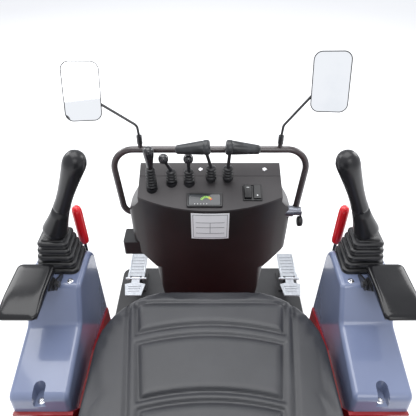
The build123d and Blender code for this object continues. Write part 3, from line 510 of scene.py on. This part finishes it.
# ---- upholstery ---------------------------------------------------------------------------------
def outline(name, half, length, front_corner, rear_corner, height=0.0):
    """A flat face of the cushion's plan, centred, with its own corner radii at the front and the rear."""
    bpy.ops.object.select_all(action="DESELECT")
    bpy.ops.mesh.primitive_plane_add(size=2)
    plan = bpy.context.object
    plan.name = name
    edit()
    bpy.ops.transform.resize(value=(half * MM, length / 2 * MM, 1))
    bpy.ops.transform.translate(value=(0, 0, height * MM))
    for sign, corner in ((1, front_corner), (-1, rear_corner)):
        bpy.ops.mesh.select_mode(type="VERT")
        bpy.ops.mesh.select_all(action="DESELECT")
        bpy.ops.object.mode_set(mode="OBJECT")
        reach = max(vertex.co.y * sign for vertex in plan.data.vertices)
        for vertex in plan.data.vertices:
            vertex.select = vertex.co.y * sign > reach - MM
        bpy.ops.object.mode_set(mode="EDIT")
        bpy.ops.mesh.bevel(affect="VERTICES", offset=corner * MM, segments=10)
    bpy.ops.mesh.select_all(action="SELECT")
    bpy.ops.object.mode_set(mode="OBJECT")
    return plan


def swell(piece, voxel, pressure, cap, held_below):
    """Remeshes the form and blows it up against its own skin; what lies below held_below (mm) stays put."""
    apply_modifier(piece, "REMESH", mode="VOXEL", voxel_size=voxel * MM)
    start = [vertex.co.copy() for vertex in piece.data.vertices]
    held = piece.vertex_groups.new(name="held")
    resting = [vertex.index for vertex in piece.data.vertices if vertex.co.z < held_below * MM]
    held.add(resting, 1.0, "REPLACE")
    cloth = piece.modifiers.new("swell", "CLOTH")
    cloth.settings.quality = 5
    cloth.settings.vertex_group_mass = "held"
    cloth.settings.use_pressure = True
    cloth.settings.uniform_pressure_force = pressure
    cloth.settings.effector_weights.gravity = 0
    cloth.point_cache.frame_start = 1
    cloth.point_cache.frame_end = 20
    for step in range(1, 21):
        bpy.context.scene.frame_set(step)
    bpy.ops.object.select_all(action="DESELECT")
    piece.select_set(True)
    bpy.context.view_layer.objects.active = piece
    bpy.ops.object.modifier_apply(modifier=cloth.name)
    bpy.context.scene.frame_set(1)
    for vertex, before in zip(piece.data.vertices, start):
        move = vertex.co - before
        if move.length > cap * MM:
            vertex.co = before + move.normalized() * cap * MM
    piece.vertex_groups.clear()
    return piece


def cushion(name, half, length, corners, thickness, voxel=6.5, cap=12):
    """A crowned closed form, grown from its plan and then blown up: flat below, round above."""
    inset = 5.0
    form = outline(name, half - inset, length - 2 * inset, corners[0], corners[1])
    edit()
    height = 0.0
    for share, grow in ((0.12, 1.0), (0.4, 1.002), (0.36, 1.0), (0.08, 0.995), (0.04, 0.985)):
        step = share * (thickness - inset)
        height += step
        bpy.ops.mesh.extrude_region_move(TRANSFORM_OT_translate={"value": (0, 0, step * MM)})
        bpy.ops.transform.resize(value=(grow, grow, 1), center_override=(0, 0, height * MM))
    bpy.ops.mesh.select_all(action="SELECT")
    bpy.ops.mesh.normals_make_consistent(inside=False)
    bpy.ops.object.mode_set(mode="OBJECT")
    swell(form, voxel, 2.5, cap, 6)
    apply_modifier(form, "SUBSURF", levels=1, render_levels=1)
    low = [min(vertex.co[axis] for vertex in form.data.vertices) for axis in range(3)]
    high = [max(vertex.co[axis] for vertex in form.data.vertices) for axis in range(3)]
    edit()
    bpy.ops.transform.translate(value=(-(low[0] + high[0]) / 2, -(low[1] + high[1]) / 2, -low[2]))
    wanted = (2 * half * MM, length * MM, thickness * MM)
    grow = [size / (top - bottom) for size, top, bottom in zip(wanted, high, low)]
    bpy.ops.transform.resize(value=grow, center_override=(0, 0, 0))
    bpy.ops.object.mode_set(mode="OBJECT")
    return form


def groove(gap, width):
    """Depth, 0 to 1, of a sewn channel at a distance from its line."""
    return 1 / (1 + (gap / width) ** 4)


def step_in(value, run):
    """Rises smoothly from 0 to 1 as value goes from 0 to run."""
    share = min(max(value / run, 0.0), 1.0)
    return share**2 * (3 - 2 * share)


SEAT_PADS = ((26, -30), (-54, -169), (-187, -300))


def seat_depth(x, y):
    """How far, in mm, the channels and the pads' raised faces change the seat's top at x, y."""
    side = abs(x)
    depth = 4.5 * groove(side - (174 + (y - 25) * 0.128), 4.0) * step_in(y + 345, 20) * step_in(52 - y, 20)
    half = 156 + (y - 23) * 0.145
    bow = x * x / 980.0
    for front, rear in SEAT_PADS:
        near, far = (rear - bow) - y, y - (front - (bow if front < 0 else 0))
        edge = max(side - half, near, far)
        depth += 4.8 * groove(edge, 3.6)
        depth -= 2.2 * step_in(-edge, 16)
    return depth


def sculpt_top(piece, depth, above):
    """Sinks the channels into the skin that faces upwards."""
    for vertex in piece.data.vertices:
        face = step_in(vertex.co.z / MM - above, 8) * step_in(vertex.normal.z - 0.55, 0.3)
        if face > 0:
            vertex.co.z -= depth(vertex.co.x / MM, vertex.co.y / MM) * face * MM


def make_seat():
    pad = cushion("seat_cushion_skin", 240.5, 426.5, (150, 58), 88.5, 6.5, 7)
    place(pad, (0, SEAT_CENTRE_Y, SEAT_UNDERSIDE))
    sculpt_top(pad, seat_depth, 395)
    fit(pad, "seat_vinyl", "seat", ["seat_cushion"], 80)


def back_depth(x, y):
    side = abs(x)
    depth = 4.5 * groove(side - 138, 4.0) * step_in(175 - abs(y), 14)
    for line in (-70, 5, 80):
        depth += 4.8 * groove(y - line + x * x / 1500.0, 3.8) * step_in(138 - side, 10)
    return depth


def make_backrest():
    pad = cushion("backrest_cushion_skin", 211.5, 378, (66, 66), 66.5, 7.5, 9)
    sculpt_top(pad, back_depth, 40)
    lean = radians(BACK_RECLINE)
    across, ahead = Vector((-1, 0, 0)), Vector((0, cos(lean), sin(lean)))
    up = ahead.cross(across)
    turn = Matrix((across, up, ahead)).transposed().to_4x4()
    centre = Vector(BACK_HINGE) + up * 215.5 - ahead * 31.5
    pad.matrix_world = Matrix.Translation(centre * MM) @ turn
    apply_place(pad)
    fit(pad, "seat_vinyl", "backrest", ["backrest_cushion"], 80)


def make_armrest_pads():
    """Skinned foam: a thick slab whose near end droops."""
    for side, sign in SIDES:
        rings = [
            (0, 31.5, 56.5), (1, 33, 58), (5, 34.6, 59.6), (11, 35, 60), (14.5, 34.2, 59.2), (16.8, 32, 57),
            (17.8, 27, 52), (18, 20, 44), (18, 8, 20),
        ]
        pad = stack(f"{side}_armrest_skin", rings, 9, segments=5)
        edit()
        bpy.ops.mesh.select_mode(type="FACE")
        for cut in (-48, -40, -30, -20, -8, 8, 24, 40):
            bpy.ops.mesh.select_all(action="SELECT")
            bpy.ops.mesh.bisect(plane_co=(0, cut * MM, 0), plane_no=(0, 1, 0))
        bpy.ops.object.mode_set(mode="OBJECT")
        for vertex in pad.data.vertices:
            run = -vertex.co.y / MM
            top = step_in(vertex.co.z / MM, 18)
            vertex.co.z -= 8.5 * MM * step_in(run - 5, 75) * top
        place(pad, (sign * 327, -53, 551))
        fit(pad, "pad_vinyl", f"{side}_armrest", [f"{side}_armrest_pad"], 50)


make_seat()
make_backrest()
make_armrest_pads()


# ---- instruments, label and screws --------------------------------------------------------------
def on_panel(piece, x, y, lift, turn=0.0):
    """Lays a piece built at the origin on the console's sloping top, lift mm above it."""
    tilt = Matrix.Rotation(PANEL_TILT, 4, "X")
    foot = Vector((x, y, panel_height(y))) + tilt.to_3x3() @ Vector((0, 0, lift))
    piece.matrix_world = Matrix.Translation(foot * MM) @ tilt @ Matrix.Rotation(radians(turn), 4, "Z")
    apply_place(piece)
    return piece


def panel_spot(x, y, local_x, local_y):
    """The panel position of a point given along the panel from x, y."""
    return x + local_x, y + local_y * cos(PANEL_TILT)


def make_display():
    rings = [(0, 42, 19), (3.6, 42, 19), (4.8, 41, 18), (4.8, 37.6, 15), (3.4, 37, 14.4)]
    fit(on_panel(stack("display_bezel", rings, 3.5), *DISPLAY_SPOT, 0), "gloss_black", nodes=["display"])
    screen = on_panel(stack("display_screen", [(0, 37, 14.4), (0.5, 36.6, 14)], 2), *DISPLAY_SPOT, 3.5)
    fit(screen, "display_black")
    marks = {"gauge_green": [], "gauge_amber": [], "gauge_red": [], "mark_white": []}
    for step in range(9):
        turn = 150 - step * 15
        spot = (4 + 13 * cos(radians(turn)), -6 + 13 * sin(radians(turn)))
        tone = "gauge_red" if step == 8 else "gauge_amber" if step > 5 else "gauge_green"
        mark = block("gauge_mark", (2.4, 5.5, 0.6), (0, 0, 0), 0.2, 1)
        marks[tone].append(on_panel(mark, *panel_spot(*DISPLAY_SPOT, *spot), 4.2, turn - 90))
    for column in range(-2, 3):
        dot = block("screen_mark", (1.8, 1.8, 0.5), (0, 0, 0), 0.15, 1)
        marks["mark_white"].append(on_panel(dot, *panel_spot(*DISPLAY_SPOT, column * 7 - 9, -11.5), 4.2))
    for tone, parts in marks.items():
        fit(join(f"display_{tone}", parts), tone)


def make_rockers():
    frame_rings = [(0, 23, 22), (2, 23, 22), (3, 22, 21), (3, 20.5, 19.5), (1, 20, 19)]
    frame_piece = on_panel(stack("rocker_frame", frame_rings, 2.5), *ROCKER_SPOT, 0)
    keys = []
    for shift in (-11, 11):
        key = stack("rocker_key", [(0, 9, 18), (4, 9, 18), (6, 8, 17)], 1.5, segments=3)
        edit()
        tip = radians(4 if shift < 0 else -4)
        bpy.ops.transform.rotate(value=tip, orient_axis="X", center_override=(0, 0, 0))
        bpy.ops.object.mode_set(mode="OBJECT")
        keys.append(on_panel(key, *panel_spot(*ROCKER_SPOT, shift, 0), 1))
    fit(join("rocker_skins", [frame_piece] + keys), "gloss_black", nodes=["rocker_switches"])
    marks = []
    for shift in (-11, 11):
        bar = block("rocker_mark", (6, 1.4, 0.4), (0, 0, 0), 0.1, 1)
        marks.append(on_panel(bar, *panel_spot(*ROCKER_SPOT, shift, 11), 7.0))
        dot = round_stack("rocker_mark", [(0, 2), (0.4, 1.8)], 16)
        marks.append(on_panel(dot, *panel_spot(*ROCKER_SPOT, shift, -10), 6.6))
    fit(join("rocker_marks", marks), "mark_white")


def screw_head(radius, height):
    """A domed head with a recessed hexagonal socket, on a washer."""
    rings = [
        (0, radius * 1.35), (0.8, radius * 1.35), (1.0, radius * 1.25), (1.0, radius), (height * 0.7, radius),
        (height, radius * 0.8), (height, radius * 0.45), (height * 0.5, radius * 0.4),
    ]
    return round_stack("screw", rings, 24)


def make_screws():
    heads = []
    for side, sign in SIDES:
        heads.append(place(screw_head(4.4, 3.6), (sign * 271, 0, POD_TOP)))
        heads.append(place(screw_head(4.6, 3.0), (sign * 303, -173.4, 402)))
    fit(join("cover_screw_heads", heads), "bright_screws", nodes=["console_cover_screws"])
    heads = [on_panel(screw_head(3.4, 2.4), x, 312, 0) for x in (-23, 133)]
    fit(join("console_screw_heads", heads), "bright_screws", nodes=["console_screws"])


def make_label_border():
    """Four thin strips inside the blank label's edge and three blank rules, bent to the head."""
    strips = []
    radius = 443.2
    for low, high, left, right in (
        (448, 449, -41, 41), (518, 519, -41, 41), (448, 519, -41, -40), (448, 519, 40, 41),
        (495, 496, -34, 34), (480, 481, -34, 34), (462, 463, -34, 34), (462, 496, -0.5, 0.5),
    ):
        bpy.ops.object.select_all(action="DESELECT")
        bpy.ops.mesh.primitive_plane_add(size=1)
        strip = bpy.context.object
        edit()
        bpy.ops.transform.resize(value=((right - left) * MM, (high - low) * MM, 1))
        bpy.ops.transform.translate(value=((left + right) / 2 * MM, (low + high) / 2 * MM, 0))
        for cut in (-30, -20, -10, 0, 10, 20, 30):
            bpy.ops.mesh.select_all(action="SELECT")
            bpy.ops.mesh.bisect(plane_co=(cut * MM, 0, 0), plane_no=(1, 0, 0))
        bpy.ops.mesh.select_all(action="SELECT")
        bpy.ops.mesh.extrude_region_move(TRANSFORM_OT_translate={"value": (0, 0, 0.3 * MM)})
        bpy.ops.object.mode_set(mode="OBJECT")
        for vertex in strip.data.vertices:
            x, height, out = vertex.co
            vertex.co = (x, 648 * MM - ((radius * MM + out) ** 2 - x * x) ** 0.5, height)
        strips.append(strip)
    fit(join("label_rules", strips), "rule_grey")


def make_pedal_treads():
    """Raised ribs on the pedals and the flaps."""
    for side, x in PEDAL_X.items():
        ribs = [block("rib", (40, 3, 2.2), (x, 396 + 16 + row * 14, 97), 0.8, 2) for row in range(6)]
        ribs.append(block("rim", (3, 92, 3), (x - 24, 449, 97.3), 1, 2))
        ribs.append(block("rim", (3, 92, 3), (x + 24, 449, 97.3), 1, 2))
        fit(join(f"{side}_pedal_ribs", ribs), "pedal_alloy")
        ribs = [
            block("rib", (44 - row * 4, 3, 2), (x, 354 - row * 10, 96.4), 0.7, 2) for row in range(3)
        ]
        fit(join(f"{side}_flap_ribs", ribs), "pedal_alloy", f"{side}_flap")


def make_key():
    """A round black head with a finger dip, hanging from its blade."""
    rings = [
        (0, 8), (0.8, 11), (2.5, 12.8), (6, 13.4), (10, 13.2), (12.4, 12), (13.6, 9.5), (13.8, 6), (12.2, 4),
    ]
    head = place(round_stack("key_head", rings, 36), (219, 260, 454), (1, 0, 0))
    blade = block("key_blade", (5, 3, 22), (226, 260, 474), 0.8, 2)
    fit(join("key_skin", [head, blade]), "black_plastic", nodes=["ignition_key"])


make_display()
make_key()
make_rockers()
make_screws()
make_label_border()
make_pedal_treads()


# ---- stage --------------------------------------------------------------------------------------
def make_camera():
    """A camera at the driver's eyes, looking down and forwards."""
    lens = bpy.data.cameras.new("driver_view")
    lens.lens = 35.9
    lens.sensor_width = 36.0
    lens.clip_end = 50
    eye = bpy.data.objects.new("driver_view", lens)
    eye.location = (-0.005, -0.535, 1.138)
    eye.rotation_euler = (radians(90 - 38.9), 0, 0)
    bpy.context.collection.objects.link(eye)
    bpy.context.scene.camera = eye


def soft_light(name, spot, aim, size, power):
    lamp = bpy.data.lights.new(name, "AREA")
    lamp.shape = "RECTANGLE"
    lamp.size, lamp.size_y = size
    lamp.energy = power
    holder = bpy.data.objects.new(name, lamp)
    holder.location = spot
    holder.rotation_euler = (Vector(aim) - Vector(spot)).to_track_quat("-Z", "Y").to_euler()
    bpy.context.collection.objects.link(holder)


def make_stage():
    bpy.ops.mesh.primitive_plane_add(size=30, location=(0, 0, -0.0005))
    floor = bpy.context.object
    floor.name = "studio_floor"
    pale = Finish("pale_floor", Roughness=0.9, Specular_IOR_Level=0.1)
    pale.tint(pale.noise(0.8, 2), (0.86, 0.86, 0.87), (0.9, 0.9, 0.9))
    floor.data.materials.append(pale.material)
    bpy.context.scene.view_settings.view_transform = "Standard"
    world = bpy.data.worlds.new("studio")
    world.use_nodes = True
    world.node_tree.nodes["Background"].inputs[0].default_value = (0.94, 0.96, 1.0, 1)
    world.node_tree.nodes["Background"].inputs[1].default_value = 1.0
    bpy.context.scene.world = world
    soft_light("overhead", (-0.3, 0.4, 2.9), (0, 0, 0.4), (2.2, 2.2), 60)
    soft_light("front_left", (-2.4, 1.8, 2.2), (0, 0, 0.5), (1.6, 1.6), 45)
    soft_light("front_right", (2.4, 1.6, 1.9), (0, 0, 0.5), (1.4, 1.4), 35)
    soft_light("rear", (0.6, -2.6, 2.4), (0, 0, 0.4), (1.8, 1.8), 30)


make_camera()
make_stage()
dress_cad_nodes()
